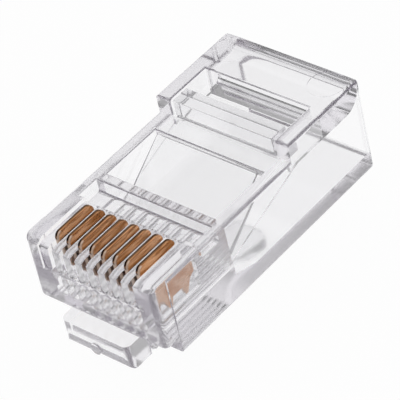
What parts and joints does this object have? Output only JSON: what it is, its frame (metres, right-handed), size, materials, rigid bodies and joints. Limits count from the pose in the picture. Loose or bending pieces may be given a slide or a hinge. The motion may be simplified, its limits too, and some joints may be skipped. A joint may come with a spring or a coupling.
{
  "type": "rj45 modular plug",
  "caption": "Clear eight-way modular plug for network cable, uncrimped, with sprung latch, gold contact blades in a comb, two strain reliefs and an open cable cavity.",
  "frame": {"origin": "middle of the nose face, at the level of the body's underside on the latch side", "axes": "+Y from the nose to the cable entry, +Z from the latch side to the contact side, +X across the contacts"},
  "size_m": [0.0116, 0.0234, 0.0113],
  "materials": {
    "clear_polycarbonate": "polished transparent moulding",
    "contact_gold": "thin gold plating over phosphor bronze, satin"
  },
  "bodies": {
    "housing": {"housing": "clear_polycarbonate"},
    "latch": {"latch": "clear_polycarbonate"},
    "conductor_relief": {"conductor_strain_relief": "clear_polycarbonate"},
    "jacket_relief": {"jacket_strain_relief": "clear_polycarbonate"},
    "contact_1": {"contact_1": "contact_gold"},
    "contact_2": {"contact_2": "contact_gold"},
    "contact_3": {"contact_3": "contact_gold"},
    "contact_4": {"contact_4": "contact_gold"},
    "contact_5": {"contact_5": "contact_gold"},
    "contact_6": {"contact_6": "contact_gold"},
    "contact_7": {"contact_7": "contact_gold"},
    "contact_8": {"contact_8": "contact_gold"}
  },
  "joints": [
    {"name": "latch_press", "type": "hinge", "parent": "housing", "child": "latch", "pos_m": [0, 0.0015, -0.00062], "axis": [1, 0, 0], "range_deg": [0, 10.5], "stiffness_Nm_per_rad": 0.3},
    {"name": "conductor_crimp", "type": "hinge", "parent": "housing", "child": "conductor_relief", "pos_m": [0, 0.01253, 0.00633], "axis": [1, 0, 0], "range_deg": [0, 10]},
    {"name": "jacket_crimp", "type": "hinge", "parent": "housing", "child": "jacket_relief", "pos_m": [0, 0.0147, 0.0062], "axis": [-1, 0, 0], "range_deg": [0, 40]},
    {"name": "contact_1_crimp", "type": "slide", "parent": "housing", "child": "contact_1", "axis": [0, 0, -1], "range_m": [0, 0.00075]},
    {"name": "contact_2_crimp", "type": "slide", "parent": "housing", "child": "contact_2", "axis": [0, 0, -1], "range_m": [0, 0.00075]},
    {"name": "contact_3_crimp", "type": "slide", "parent": "housing", "child": "contact_3", "axis": [0, 0, -1], "range_m": [0, 0.00075]},
    {"name": "contact_4_crimp", "type": "slide", "parent": "housing", "child": "contact_4", "axis": [0, 0, -1], "range_m": [0, 0.00075]},
    {"name": "contact_5_crimp", "type": "slide", "parent": "housing", "child": "contact_5", "axis": [0, 0, -1], "range_m": [0, 0.00075]},
    {"name": "contact_6_crimp", "type": "slide", "parent": "housing", "child": "contact_6", "axis": [0, 0, -1], "range_m": [0, 0.00075]},
    {"name": "contact_7_crimp", "type": "slide", "parent": "housing", "child": "contact_7", "axis": [0, 0, -1], "range_m": [0, 0.00075]},
    {"name": "contact_8_crimp", "type": "slide", "parent": "housing", "child": "contact_8", "axis": [0, 0, -1], "range_m": [0, 0.00075]}
  ]
}
